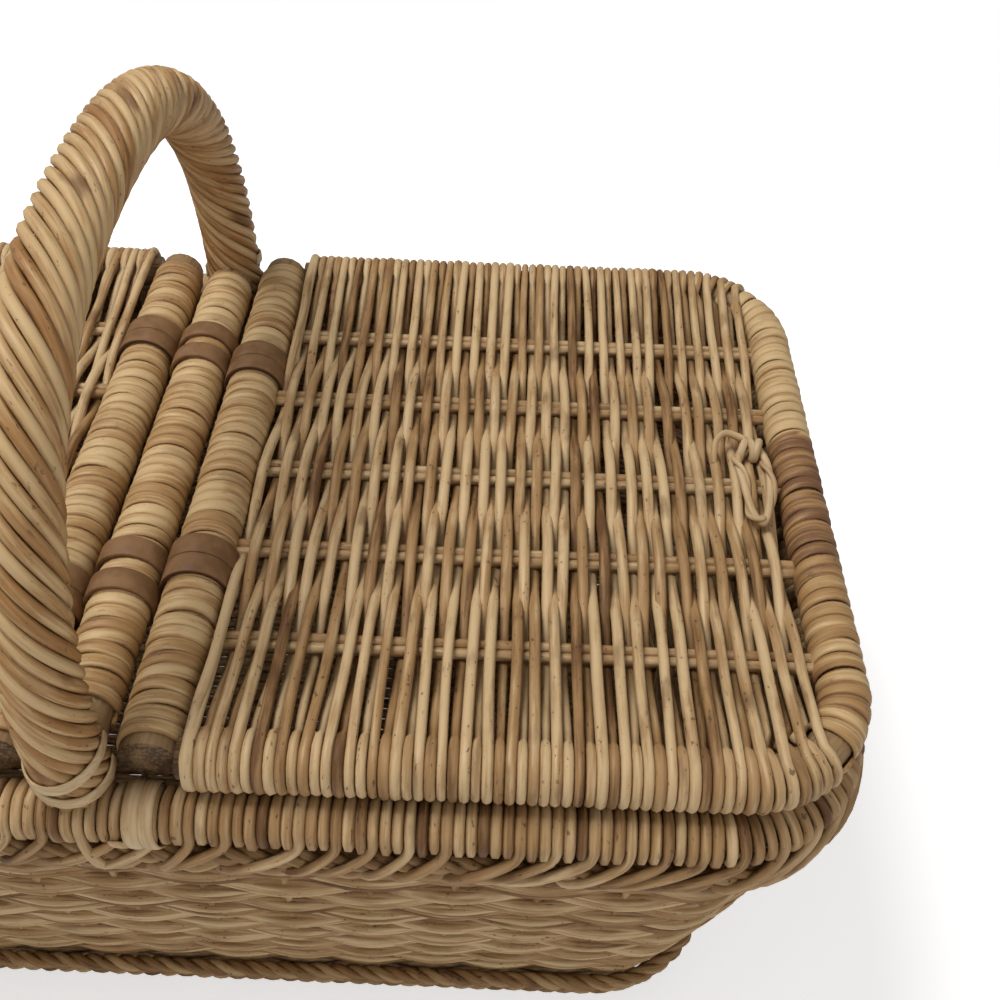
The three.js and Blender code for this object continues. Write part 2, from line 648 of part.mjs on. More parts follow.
// The right lid's straps lie nearer the middle of the basket than the left lid's
const strapMiddle = 1.5 * STAKE_SPACING;
const strapShift = (STRAP_WIDTH + STRAP_GAP) / 2;
[1, -1].forEach((end) => {
  const place = end > 0 ? "back" : "front";
  const near = strap(HINGE_X, end * (strapMiddle - strapShift));
  const far = strap(-HINGE_X, end * (strapMiddle + strapShift));
  basket.add(named(`hinge_strap_right_${place}`, near, leather));
  basket.add(named(`hinge_strap_left_${place}`, far, leather));
});

export default basket;
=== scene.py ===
"""The looks of a two-lid wicker picnic basket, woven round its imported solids.

Metres, +Z up, front towards -Y.
"""

import json
import math
import random

import bmesh
import bpy
import numpy as np
from mathutils import Matrix, Vector, noise


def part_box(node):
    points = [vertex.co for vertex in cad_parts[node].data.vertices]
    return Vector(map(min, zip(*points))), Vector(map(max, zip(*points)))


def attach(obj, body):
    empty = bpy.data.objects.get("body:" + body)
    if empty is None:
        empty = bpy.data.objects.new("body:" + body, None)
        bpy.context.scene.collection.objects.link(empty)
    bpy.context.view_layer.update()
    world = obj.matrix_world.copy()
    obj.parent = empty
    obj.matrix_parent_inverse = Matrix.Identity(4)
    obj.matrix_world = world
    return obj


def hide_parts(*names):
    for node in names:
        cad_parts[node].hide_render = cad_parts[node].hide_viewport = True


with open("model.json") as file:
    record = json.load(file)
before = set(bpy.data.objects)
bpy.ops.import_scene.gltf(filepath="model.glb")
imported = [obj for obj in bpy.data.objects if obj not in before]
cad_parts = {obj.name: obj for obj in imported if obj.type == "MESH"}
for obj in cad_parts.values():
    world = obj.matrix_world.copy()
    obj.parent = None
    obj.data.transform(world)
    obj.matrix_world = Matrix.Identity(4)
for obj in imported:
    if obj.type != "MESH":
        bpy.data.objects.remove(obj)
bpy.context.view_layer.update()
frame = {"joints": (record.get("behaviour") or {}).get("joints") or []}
chance = random.Random(7)

# Rod and strip sizes
MM = 0.001
LID_WEAVER = 1.85 * MM  # radius
LID_WEAVER_PITCH = 3.57 * MM
LID_STAKE = 2.0 * MM
BORDER_ROD = 1.9 * MM
WALL_WEAVER = 1.65 * MM
WALL_STAKE = 1.7 * MM
WALL_STAKES = 48
WALL_ROW = 3.05 * MM
WALL_SLEW = 3  # weavers that are woven together as one
WALL_SWING = 2.0 * MM  # how far a weaver swings out and in at the stakes
WALE_ROD = 1.9 * MM
WALE_TURNS = 58
FOOT_ROD = 2.9 * MM
FOOT_TURNS = 44
BASE_ROD = 1.95 * MM
BASE_PITCH = 3.3 * MM
BASE_STICKS = 15
HANDLE_ROD = 2.12 * MM
HANDLE_RODS = 12
HANDLE_LAY = 80 * MM  # length of one full twist
HANDLE_FOOT = 12 * MM  # how far the rods run on below the handle's line
CANE_GAP = 0.2 * MM  # between a stick and its cane
CANE_THICKNESS = 1.35 * MM
BAR_CANE_PITCH = 5.4 * MM
END_CANE_PITCH = 5.7 * MM
LEATHER_WIDTH = 9.0 * MM
LEATHER_THICKNESS = 1.5 * MM
LOOP_ROD = 1.55 * MM
KNOT_ROD = 1.6 * MM
STRIP_WIDTH = 3.8 * MM
STRIP_THICKNESS = 0.45 * MM
LASHING_PITCH = 5.4 * MM
LASHING_THICKNESS = 1.1 * MM

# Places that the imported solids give
joints = {joint["name"]: joint for joint in frame["joints"]}
HINGE_X = joints["lid_right_hinge"]["pos_m"][0]
HINGE_Z = joints["lid_right_hinge"]["pos_m"][2]
hoop_low, hoop_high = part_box("lid_hoop_right")
HOOP_R = (hoop_high.z - hoop_low.z) / 2
HOOP_HALF = hoop_high.y - HOOP_R
HOOP_END = hoop_high.x - HOOP_R
HOOP_CORNER = 38 * MM
bar_low, bar_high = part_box("lid_bar_right")
BAR_R = (bar_high.z - bar_low.z) / 2
BAR_HALF = bar_high.y
MIDDLE_BOUND_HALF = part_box("middle_bar_binding")[1].y
WEAVE_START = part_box("lid_weave_right")[0].x
rim_low, rim_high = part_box("top_border")
RIM_R = (rim_high.z - rim_low.z) / 2
RIM_Z = (rim_high.z + rim_low.z) / 2
RIM_X = rim_high.x - RIM_R
RIM_Y = rim_high.y - RIM_R
RIM_CORNER = 48 * MM
wall_low, wall_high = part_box("side_wall")
foot_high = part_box("foot_border")[1]
FOOT_BAND = 8 * MM
BASE_X = foot_high.x - FOOT_BAND
BASE_Y = foot_high.y - FOOT_BAND
BASE_CORNER = 40 * MM
FOOT_Z = foot_high.z / 2
WALL_BELLY = 5 * MM
base_low, base_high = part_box("base_panel")
rods_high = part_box("handle_rods")[1]
HANDLE_R = rods_high.x
HANDLE_RISE = rods_high.z - HANDLE_R - HINGE_Z
HANDLE_HALF = rods_high.y - HANDLE_R
HANDLE_SQUARENESS = 2.4
BOW_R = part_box("handle_bow")[1].x
stake_boxes = [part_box(f"lid_stake_pair_{row}_right") for row in range(1, 6)]
STAKE_ROWS = [(low.y + high.y) / 2 for low, high in stake_boxes]
LOOP_X, LOOP_Y, LOOP_Z = joints["pull_loop_right_swing"]["pos_m"]

# Everything on a lid is laid out for the right one, and the left one is turned half round
SIDES = {"right": Matrix.Identity(4), "left": Matrix.Rotation(math.pi, 4, "Z")}
TO_FRONT = Matrix.Diagonal((1, -1, 1, 1))


# Materials


def new_group(name, inputs, outputs):
    """An empty node group with its sockets, and its two end nodes."""
    group = bpy.data.node_groups.new(name, "ShaderNodeTree")
    for label, kind, value in inputs:
        socket = group.interface.new_socket(label, in_out="INPUT", socket_type=kind)
        socket.default_value = value
    for label, kind in outputs:
        group.interface.new_socket(label, in_out="OUTPUT", socket_type=kind)
    ins = group.nodes.new("NodeGroupInput")
    outs = group.nodes.new("NodeGroupOutput")
    return group, ins, outs


def add_node(tree, kind, values=None, **settings):
    """A new node, with values for its sockets and settings for itself."""
    node = tree.nodes.new(kind)
    for key, value in settings.items():
        setattr(node, key, value)
    for key, value in (values or {}).items():
        node.inputs[key].default_value = value
    return node


def feed(tree, sockets, values):
    """Sets each socket to its value, or links it to the output that it is given."""
    for socket, value in zip(sockets, values):
        if isinstance(value, (int, float, tuple)):
            socket.default_value = value
        else:
            tree.links.new(value, socket)


def math_node(tree, operation, a, b, clamp=False):
    node = add_node(tree, "ShaderNodeMath", operation=operation, use_clamp=clamp)
    feed(tree, node.inputs, (a, b))
    return node.outputs[0]


def spread(tree, value, low, high, out_low=0.0, out_high=1.0):
    """Spreads the part of a value between low and high over a new range."""
    limits = {"From Min": low, "From Max": high, "To Min": out_low, "To Max": out_high}
    node = add_node(tree, "ShaderNodeMapRange", limits, interpolation_type="SMOOTHSTEP")
    tree.links.new(value, node.inputs["Value"])
    return node.outputs["Result"]


def mix_colour(tree, factor, a, b):
    node = add_node(tree, "ShaderNodeMix", data_type="RGBA")
    feed(tree, (node.inputs[0], node.inputs[6], node.inputs[7]), (factor, a, b))
    return node.outputs[2]


def grain_noise(tree, vector, scale, size, detail):
    """Noise that is stretched along the grain."""
    stretch = add_node(tree, "ShaderNodeVectorMath", operation="MULTIPLY")
    tree.links.new(vector, stretch.inputs[0])
    stretch.inputs[1].default_value = scale
    texture = add_node(tree, "ShaderNodeTexNoise", {"Scale": size, "Detail": detail})
    tree.links.new(stretch.outputs[0], texture.inputs["Vector"])
    return texture.outputs["Fac"]


def make_fibre_group():
    """Weathered plant fibre: streaks along the rod, blotches, flecks and stains.

    It reads the piece's grain (a place along and across the rod) and tone (0 pale to 1 dark).
    """
    inputs = [
        ("Pale", "NodeSocketColor", (0.5, 0.36, 0.2, 1)),
        ("Mid", "NodeSocketColor", (0.3, 0.18, 0.08, 1)),
        ("Dark", "NodeSocketColor", (0.1, 0.05, 0.02, 1)),
        ("Streaks", "NodeSocketFloat", 0.4),
        ("Blotches", "NodeSocketFloat", 0.5),
        ("Flecks", "NodeSocketFloat", 0.5),
        ("Stains", "NodeSocketFloat", 0.5),
    ]
    results = [
        ("Color", "NodeSocketColor"),
        ("Roughness", "NodeSocketFloat"),
        ("Height", "NodeSocketFloat"),
    ]
    tree, ins, outs = new_group("weathered fibre", inputs, results)
    grain = add_node(tree, "ShaderNodeAttribute", attribute_name="grain").outputs["Vector"]
    tone = add_node(tree, "ShaderNodeAttribute", attribute_name="tone").outputs["Fac"]
    streak = grain_noise(tree, grain, (0.06, 1.0, 1.0), 900, 4)
    blotch = grain_noise(tree, grain, (0.3, 1.0, 1.0), 130, 4)
    fleck = grain_noise(tree, grain, (0.55, 1.0, 1.0), 700, 2)
    stain = grain_noise(tree, grain, (1.0, 2.5, 2.5), 28, 5)

    def scaled(value, amount):
        return math_node(tree, "MULTIPLY", value, amount)

    streak_shift = scaled(math_node(tree, "SUBTRACT", streak, 0.5), ins.outputs["Streaks"])
    blotch_shift = scaled(math_node(tree, "SUBTRACT", blotch, 0.5), ins.outputs["Blotches"])
    level = math_node(tree, "ADD", tone, streak_shift)
    level = math_node(tree, "ADD", level, blotch_shift, clamp=True)
    pale, mid, dark = (ins.outputs[key] for key in ("Pale", "Mid", "Dark"))
    lower = mix_colour(tree, spread(tree, level, 0.05, 0.55), pale, mid)
    aged = mix_colour(tree, spread(tree, level, 0.5, 1.0), lower, dark)
    speck_field = math_node(tree, "ADD", fleck, scaled(blotch_shift, 0.35))
    speck = scaled(spread(tree, speck_field, 0.66, 0.74), ins.outputs["Flecks"])
    bark = scaled(spread(tree, stain, 0.56, 0.68), ins.outputs["Stains"])
    final = mix_colour(tree, speck, mix_colour(tree, bark, aged, dark), (0.045, 0.022, 0.01, 1))
    tree.links.new(final, outs.inputs["Color"])
    tree.links.new(spread(tree, streak, 0.2, 0.8, 0.42, 0.7), outs.inputs["Roughness"])
    height = math_node(tree, "SUBTRACT", streak, scaled(speck, 0.5))
    tree.links.new(height, outs.inputs["Height"])
    return tree


FIBRE = make_fibre_group()


def new_material(name):
    material = bpy.data.materials.new(name)
    material.use_nodes = True
    tree = material.node_tree
    return material, tree, tree.nodes["Principled BSDF"]


def add_relief(tree, shader, height, strength, depth):
    bump = add_node(tree, "ShaderNodeBump", {"Strength": strength, "Distance": depth})
    tree.links.new(height, bump.inputs["Height"])
    tree.links.new(bump.outputs["Normal"], shader.inputs["Normal"])


def fibre_material(name, pale, mid, dark, streaks=0.9, flecks=0.5, stains=0.6, relief=0.35):
    material, tree, shader = new_material(name)
    finish = {
        "Pale": (*pale, 1),
        "Mid": (*mid, 1),
        "Dark": (*dark, 1),
        "Streaks": streaks,
        "Blotches": 1.1,
        "Flecks": flecks,
        "Stains": stains,
    }
    group = add_node(tree, "ShaderNodeGroup", node_tree=FIBRE)
    for key, value in finish.items():
        group.inputs[key].default_value = value
    add_relief(tree, shader, group.outputs["Height"], relief, 0.4 * MM)
    tree.links.new(group.outputs["Color"], shader.inputs["Base Color"])
    tree.links.new(group.outputs["Roughness"], shader.inputs["Roughness"])
    shader.inputs["Specular IOR Level"].default_value = 0.3
    return material


def leather_material():
    material, tree, shader = new_material("worn brown leather")
    place = add_node(tree, "ShaderNodeTexCoord").outputs["Object"]
    edge = add_node(tree, "ShaderNodeAttribute", attribute_name="edge").outputs["Fac"]
    scuff = add_node(tree, "ShaderNodeTexNoise", {"Scale": 160, "Detail": 5})
    pores = add_node(tree, "ShaderNodeTexVoronoi", {"Scale": 1400})
    for texture in (scuff, pores):
        tree.links.new(place, texture.inputs["Vector"])
    scuffed = spread(tree, scuff.outputs["Fac"], 0.3, 0.7)
    hide = mix_colour(tree, scuffed, (0.165, 0.082, 0.032, 1), (0.23, 0.122, 0.054, 1))
    darkened = mix_colour(tree, edge, hide, (0.075, 0.032, 0.014, 1))
    tree.links.new(darkened, shader.inputs["Base Color"])
    roughness = spread(tree, scuff.outputs["Fac"], 0.3, 0.7, 0.5, 0.72)
    tree.links.new(roughness, shader.inputs["Roughness"])
    shader.inputs["Specular IOR Level"].default_value = 0.25
    add_relief(tree, shader, pores.outputs["Distance"], 0.25, 0.3 * MM)
    return material


willow = fibre_material(
    "buff willow",
    pale=(0.56, 0.395, 0.21),
    mid=(0.34, 0.195, 0.08),
    dark=(0.125, 0.055, 0.018),
    flecks=0.7,
)
old_willow = fibre_material(
    "weathered willow",
    pale=(0.44, 0.285, 0.135),
    mid=(0.25, 0.135, 0.05),
    dark=(0.09, 0.038, 0.013),
    flecks=0.8,
)
handle_willow = fibre_material(
    "handled willow",
    pale=(0.55, 0.375, 0.185),
    mid=(0.33, 0.165, 0.056),
    dark=(0.12, 0.045, 0.012),
    stains=0.75,
    relief=0.3,
)
bar_cane = fibre_material(
    "split cane",
    pale=(0.56, 0.39, 0.195),
    mid=(0.37, 0.21, 0.082),
    dark=(0.17, 0.08, 0.036),
    streaks=1.3,
    flecks=0.3,
    stains=0.4,
)
pale_cane = fibre_material(
    "pale peel",
    pale=(0.58, 0.43, 0.25),
    mid=(0.42, 0.27, 0.13),
    dark=(0.2, 0.1, 0.04),
    flecks=0.2,
    stains=0.2,
)
bare_stick = fibre_material(
    "bare stick",
    pale=(0.40, 0.27, 0.14),
    mid=(0.27, 0.165, 0.075),
    dark=(0.075, 0.04, 0.018),
    flecks=0.4,
    stains=0.5,
)
leather = leather_material()


# Pieces


def settle(mesh, name, material, body, replaces=()):
    """Puts a finished mesh into the scene as a piece that rides on a body."""
    mesh.materials.clear()
    mesh.materials.append(material)
    mesh.polygons.foreach_set("use_smooth", [True] * len(mesh.polygons))
    piece = bpy.data.objects.new(name, mesh)
    bpy.context.scene.collection.objects.link(piece)
    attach(piece, body)
    if replaces:
        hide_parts(*replaces)
    return piece


class Rod:
    """One bent rod: its line, its tone from 0 pale to 1 dark, and its girth at even steps."""

    def __init__(self, line, tone, girth=(1.0, 1.0), closed=False):
        self.line = [Vector(point) for point in line]
        self.tone = tone
        self.girth = girth
        self.closed = closed

    def turned(self, matrix):
        return Rod([matrix @ point for point in self.line], self.tone, self.girth, self.closed)


def grown_girth():
    """A grown rod is thicker at its butt than at its tip, and some lie the other way round."""
    size, slim = chance.uniform(0.92, 1.08), chance.uniform(0.0, 0.1)
    return (size + slim, size - slim) if chance.random() < 0.5 else (size - slim, size + slim)


def new_curve(name, thickness, roundness):
    curve = bpy.data.curves.new(name, "CURVE")
    curve.dimensions = "3D"
    curve.bevel_depth = thickness
    curve.bevel_resolution = roundness
    return curve


def add_line(curve, line):
    spline = curve.splines.new("POLY")
    spline.points.add(len(line) - 1)
    spline.points.foreach_set("co", [n for point in line for n in (*point, 1)])
    return spline


def curve_mesh(curve):
    """Takes the mesh of a finished curve and removes the curve."""
    holder = bpy.data.objects.new(curve.name, curve)
    bpy.context.scene.collection.objects.link(holder)
    ready = holder.evaluated_get(bpy.context.evaluated_depsgraph_get())
    mesh = bpy.data.meshes.new_from_object(ready)
    bpy.data.objects.remove(holder)
    bpy.data.curves.remove(curve)
    return mesh


def bend_rods(name, rods, radius, sides=8):
    """Sweeps a round section along every rod into one closed mesh with its grain and tone."""
    curve = new_curve(name, radius, (sides - 4) // 2)
    for rod in rods:
        spline = add_line(curve, rod.line)
        spots = np.linspace(0, 1, len(rod.line))
        steps = np.linspace(0, 1, len(rod.girth))
        spline.points.foreach_set("radius", np.interp(spots, steps, rod.girth))
        spline.use_cyclic_u = rod.closed
    mesh = curve_mesh(curve)
    grain, tone = [], []
    ring = np.linspace(0, 2 * math.pi, sides, endpoint=False)
    for rod in rods:
        line = np.array(rod.line)
        lengths = np.linalg.norm(np.diff(line, axis=0), axis=1)
        along = np.concatenate([[0], np.cumsum(lengths)])
        along = np.repeat(along + chance.uniform(0, 40), sides)
        around = np.tile(ring, len(line))
        grain.append(np.stack([along, radius * np.cos(around), radius * np.sin(around)], 1))
        tones = np.broadcast_to(np.array(rod.tone, float), (len(line),))
        tone.append(np.repeat(tones, sides))
    set_fibre(mesh, np.concatenate(grain), np.concatenate(tone))
    work = bmesh.new()
    work.from_mesh(mesh)
    bmesh.ops.holes_fill(work, edges=[edge for edge in work.edges if edge.is_boundary], sides=0)
    bmesh.ops.recalc_face_normals(work, faces=work.faces)
    work.to_mesh(mesh)
    work.free()
    return mesh


def set_fibre(mesh, grain, tone):
    """Keeps what the fibre materials read, for each vertex."""
    grains = mesh.attributes.new("grain", "FLOAT_VECTOR", "POINT")
    grains.data.foreach_set("vector", grain.astype(np.float32).ravel())
    tones = mesh.attributes.new("tone", "FLOAT", "POINT")
    tones.data.foreach_set("value", tone.astype(np.float32))


def section_loop(work, spots):
    """A closed loop of edges, ready to be spun."""
    corners = [work.verts.new(spot) for spot in spots]
    return corners + [work.edges.new(pair) for pair in zip(corners, corners[1:] + corners[:1])]


def wind_cane(start, end, pitch, inner, thickness, place, tone_at, steps=22):
    """Winds a crowned strip of cane round a straight rod, then lays it where place says."""
    half = pitch * 0.49
    section = [
        (inner, -half),
        (inner + 0.5 * thickness, -half),
        (inner + 0.88 * thickness, -0.6 * half),
        (inner + thickness, 0),
        (inner + 0.88 * thickness, 0.6 * half),
        (inner + 0.5 * thickness, half),
        (inner, half),
    ]
    turns = (end - start - 2 * half) / pitch
    count = round(turns * steps)
    work = bmesh.new()
    spots = [(radius, start + half + run, 0) for radius, run in section]
    bmesh.ops.spin(
        work,
        geom=section_loop(work, spots),
        cent=(0, 0, 0),
        axis=(0, 1, 0),
        dvec=(0, (end - start - 2 * half) / count, 0),
        angle=2 * math.pi * turns,
        steps=count,
    )
    bmesh.ops.holes_fill(work, edges=[edge for edge in work.edges if edge.is_boundary], sides=0)
    work.verts.ensure_lookup_table()
    grain, tone = np.zeros((len(work.verts), 3)), np.zeros(len(work.verts))
    for vert in work.verts:
        step, corner = divmod(vert.index, len(section))
        turn = step / steps
        run, radius = vert.co.y, math.hypot(vert.co.x, vert.co.z)
        angle = math.atan2(vert.co.z, vert.co.x)
        radius += 0.3 * thickness * noise.noise((turn * 1.7, corner * 0.02, inner * 900))
        run += 0.26 * pitch * noise.noise((turn * 2.3, 7.0, inner * 700))
        grain[vert.index] = (turn * 2 * math.pi * inner, section[corner][1], inner * 50)
        # Painted shade: the strip's sides, which face the next turn across a narrow gap, are
        # darkened
        gap_shade = 0.16 if corner in (0, 1, 5, 6) else 0.0
        shade = 0.22 * noise.noise((turn * 0.8, 1.0, inner * 300))
        tone[vert.index] = tone_at(turn, run) + shade + gap_shade
        vert.co = place(run, angle, radius)
    bmesh.ops.recalc_face_normals(work, faces=work.faces)
    if work.calc_volume(signed=True) < 0:
        bmesh.ops.reverse_faces(work, faces=work.faces)
    mesh = bpy.data.meshes.new("cane")
    work.to_mesh(mesh)
    work.free()
    set_fibre(mesh, grain, tone)
    return mesh


def glide(stations, per):
    """Points between stations of (run, height), easing in and out at each."""
    points = []
    for (run_a, high_a), (run_b, high_b) in zip(stations, stations[1:]):
        for i in range(per):
            t = i / per
            ease = (1 - math.cos(math.pi * t)) / 2
            points.append((run_a + (run_b - run_a) * t, high_a + (high_b - high_a) * ease))
    return points + [stations[-1]]


def smooth_line(knots, per):
    """A smooth line through the knots."""
    knots = [Vector(knot) for knot in knots]
    ends = [2 * knots[0] - knots[1], *knots, 2 * knots[-1] - knots[-2]]
    line = []
    for a, b, c, d in zip(ends, ends[1:], ends[2:], ends[3:]):
        square, cube = 2 * a - 5 * b + 4 * c - d, 3 * b - a - 3 * c + d
        for i in range(per):
            t = i / per
            line.append(0.5 * (2 * b + (c - a) * t + square * t**2 + cube * t**3))
    return line + [knots[-1]]


def round_rod(middle, out, radius, angle):
    """A point round a rod: at 0 degrees it lies outwards, and at 90 on top."""
    angle = math.radians(angle)
    return middle + out * radius * math.cos(angle) + Vector((0, 0, radius * math.sin(angle)))


def rod_tone():
    """Most rods are straw, some are tan and a few are brown."""
    pick = chance.random()
    if pick < 0.62:
        return chance.uniform(0.08, 0.3)
    if pick < 0.9:
        return chance.uniform(0.3, 0.55)
    return chance.uniform(0.6, 0.85)


# Lids

LID_CORNER_X = HOOP_END - HOOP_CORNER
LID_CORNER_Y = HOOP_HALF - HOOP_CORNER
LAST_WRAP = math.radians(43)  # how far round the corner the weavers still wrap the hoop


def hoop_edge(x_run):
    """The hoop's line and outward direction in plan, for a weaver at that run along the back."""
    if x_run <= LID_CORNER_X:
        return Vector((x_run, HOOP_HALF, 0)), Vector((0, 1, 0))
    turn = (x_run - LID_CORNER_X) / HOOP_CORNER
    out = Vector((math.sin(turn), math.cos(turn), 0))
    return Vector((LID_CORNER_X, LID_CORNER_Y, 0)) + out * HOOP_CORNER, out


def weaver(run, starts_over):
    """A weaver wraps the hoop at the back, weaves through the stakes, and wraps it at the front."""
    edge, out = hoop_edge(run)
    swing = LID_STAKE + LID_WEAVER

    def end_wrap(first, last):
        angles = np.linspace(first, last, 11)
        return [round_rod(edge, out, HOOP_R + LID_WEAVER, angle) for angle in angles]

    tuck = chance.uniform(-125, -95)
    rows = sorted(STAKE_ROWS, reverse=True)
    sign = 1 if starts_over else -1
    # A weaver that first passes under the stakes rolls further round the hoop before it leaves
    leave = 82 if starts_over else 150
    back_end = end_wrap(tuck, leave)
    front_end = [TO_FRONT @ point for point in end_wrap(leave, chance.uniform(-125, -95))]
    stations = [(back_end[-1].y, back_end[-1].z)]
    for i, row in enumerate(rows):
        over = sign if i % 2 == 0 else -sign
        stations.append((row, over * swing * chance.uniform(0.94, 1.04)))
    stations.append((front_end[0].y, front_end[0].z))
    sway = [chance.uniform(-1.0, 1.0) * MM / (1 + 0.4 * i) for i in range(4)]
    field = []
    for y, z in glide(stations, 6)[1:-1]:
        t = (y - front_end[0].y) / (back_end[-1].y - front_end[0].y)
        drift = sum(s * math.sin((i + 1) * math.pi * t) for i, s in enumerate(sway))
        field.append(Vector((edge.x + drift, y, z)))
    lift = Vector((0, 0, HINGE_Z))
    return [point + lift for point in back_end + field + front_end]


def edge_rod(sign):
    """A rod that leaves the border beside the bar, crosses to it and runs along it."""
    edge = HINGE_X + BAR_R + CANE_THICKNESS + LID_WEAVER
    start = Vector((edge + 1.2 * MM, sign * HOOP_HALF, HINGE_Z))
    out = Vector((0, sign, 0))
    knots = [
        round_rod(start, out, HOOP_R + LID_WEAVER, angle) for angle in (-110, -60, -10, 40, 75)
    ]
    route = ((1.0, 118, 8.6), (1.6, 100, 6.8), (1.4, 80, 5.0), (1.2, 60, 3.6), (1.0, 42, -3.4))
    for x, y, z in route:
        knots.append((edge + x * MM, sign * y * MM, HINGE_Z + z * MM))
    return smooth_line(knots, 4)


def lid_weavers():
    """The field of a lid: weavers side by side, each second one starting under the stakes."""
    rods = []
    run = WEAVE_START + 0.9 * MM
    count = 0
    while run < LID_CORNER_X + LAST_WRAP * HOOP_CORNER:
        butt, tip = grown_girth()
        girth = (0.95 * butt, butt, 1.15, 1.15, tip, 0.95 * tip)
        rods.append(Rod(weaver(run, count % 2 == 0), rod_tone(), girth))
        run += LID_WEAVER_PITCH
        count += 1
    return rods + [Rod(edge_rod(sign), rod_tone(), grown_girth()) for sign in (1, -1)]


def lid_stakes():
    """Pairs of stakes from the bar to the hoop's end."""
    rods = []
    for row in STAKE_ROWS:
        for side in (-1, 1):
            knots = []
            for x in np.linspace(HINGE_X + BAR_R, HOOP_END, 9):
                y = row + side * LID_STAKE * 0.98 + chance.uniform(-0.25, 0.25) * MM
                knots.append((x, y, HINGE_Z))
            rods.append(Rod(smooth_line(knots, 3), chance.uniform(0.2, 0.42)))
    return rods


def around_hoop_end(run, angle, radius):
    """A point round the hoop's end: run 0 is the middle of the end and grows towards the back."""
    side = 1 if run >= 0 else -1
    past = abs(run) - LID_CORNER_Y
    if past <= 0:
        edge, out = Vector((HOOP_END, run, HINGE_Z)), Vector((1, 0, 0))
    else:
        turn = past / HOOP_CORNER
        out = Vector((math.cos(turn), side * math.sin(turn), 0))
        edge = Vector((LID_CORNER_X, side * LID_CORNER_Y, HINGE_Z)) + out * HOOP_CORNER
    return edge + out * radius * math.cos(angle) + Vector((0, 0, radius * math.sin(angle)))


def around_bar(x):
    """Points round a bar that lies along Y."""

    def place(run, angle, radius):
        return Vector((x + radius * math.cos(angle), run, HINGE_Z + radius * math.sin(angle)))

    return place


def cane_tone(low, high, length, seed):
    """Cane changes colour where one strip ends and the next begins."""
    picks = random.Random(seed)
    levels = [picks.uniform(low, high) for _ in range(60)]
    return lambda turn, run: levels[int(turn / length) % 60]


def end_tone(turn, run):
    """The end binding is pale at the back, dark brown past the middle and tan at the front."""
    shade = 0.16 * noise.noise((turn * 0.9, 3.0, 0.0))
    if run > 24 * MM:
        return 0.08 + 0.4 * shade
    return (0.78 if run > -42 * MM else 0.46) + shade


def bar_cane_mesh(x, start, end, tones):
    inner = BAR_R + CANE_GAP
    return wind_cane(start, end, BAR_CANE_PITCH, inner, CANE_THICKNESS, around_bar(x), tones)


def end_cane_mesh():
    reach = LID_CORNER_Y + (math.pi / 2 - LAST_WRAP - 0.02) * HOOP_CORNER
    inner = HOOP_R + 0.9 * MM
    return wind_cane(
        -reach, reach, END_CANE_PITCH, inner, CANE_THICKNESS, around_hoop_end, end_tone
    )


def make_lid(side, matrix):
    body = f"lid_{side}"
    rods = [rod.turned(matrix) for rod in lid_weavers()]
    weave = bend_rods("lid weavers", rods, LID_WEAVER)
    settle(weave, f"lid_weavers_{side}", willow, body, [f"lid_weave_{side}"])
    rods = [rod.turned(matrix) for rod in lid_stakes()]
    stakes = bend_rods("lid stakes", rods, LID_STAKE)
    nodes = [f"lid_stake_pair_{row}_{side}" for row in range(1, 6)]
    settle(stakes, f"lid_stakes_{side}", willow, body, nodes)
    end = BAR_HALF - 3 * MM
    # The right lid's cane covers the front end of its bar
    start = -BAR_HALF - 0.5 * MM if side == "right" else -end
    bound = bar_cane_mesh(HINGE_X, start, end, cane_tone(0.05, 0.5, 2.6, side))
    bound.transform(matrix)
    settle(bound, f"lid_bar_cane_{side}", bar_cane, body, [f"lid_bar_binding_{side}"])
    bound = end_cane_mesh()
    bound.transform(matrix)
    settle(bound, f"lid_end_cane_{side}", bar_cane, body, [f"lid_end_binding_{side}"])


for side, matrix in SIDES.items():
    make_lid(side, matrix)

tones = cane_tone(0.05, 0.45, 3.2, "middle")
bound = bar_cane_mesh(0, -MIDDLE_BOUND_HALF, MIDDLE_BOUND_HALF, tones)
settle(bound, "middle_bar_cane", bar_cane, "basket", ["middle_bar_binding"])


# Leather hinges


def leather_ring(work, x, y, inner):
    """Spins a soft-edged strap section round a bar."""
    half, thick = LEATHER_WIDTH / 2, LEATHER_THICKNESS
    section = [
        (inner, -half),
        (inner + 0.85 * thick, -half),
        (inner + thick, -0.93 * half),
        (inner + 1.02 * thick, 0),
        (inner + thick, 0.93 * half),
        (inner + 0.85 * thick, half),
        (inner, half),
    ]
    spots = [(x + radius, y + run, HINGE_Z) for radius, run in section]
    bmesh.ops.spin(
        work,
        geom=section_loop(work, spots),
        cent=(x, y, HINGE_Z),
        axis=(0, 1, 0),
        angle=2 * math.pi,
        steps=40,
        use_merge=True,
    )


def make_strap(name, x, node):
    """A lace passes twice round the lid's bar and once round the middle bar."""
    low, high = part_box(node)
    y = (low.y + high.y) / 2
    inner = BAR_R + CANE_GAP + CANE_THICKNESS + 0.15 * MM
    work = bmesh.new()
    pair = LEATHER_WIDTH / 2 + 0.2 * MM
    rings = ((x, y - pair), (x, y + pair), (0, y + 0.4 * pair))
    for ring_x, ring_y in rings:
        leather_ring(work, ring_x, ring_y, inner)
    bmesh.ops.remove_doubles(work, verts=work.verts, dist=1e-6)
    bmesh.ops.recalc_face_normals(work, faces=work.faces)
    mesh = bpy.data.meshes.new(name)
    work.to_mesh(mesh)
    work.free()
    edge = []
    for vert in mesh.vertices:
        off = min(abs(vert.co.y - ring_y) for _, ring_y in rings)
        edge.append(1.0 if off > 0.95 * LEATHER_WIDTH / 2 else 0.0)
    mesh.attributes.new("edge", "FLOAT", "POINT").data.foreach_set("value", edge)
    settle(mesh, name, leather, "basket", [node])


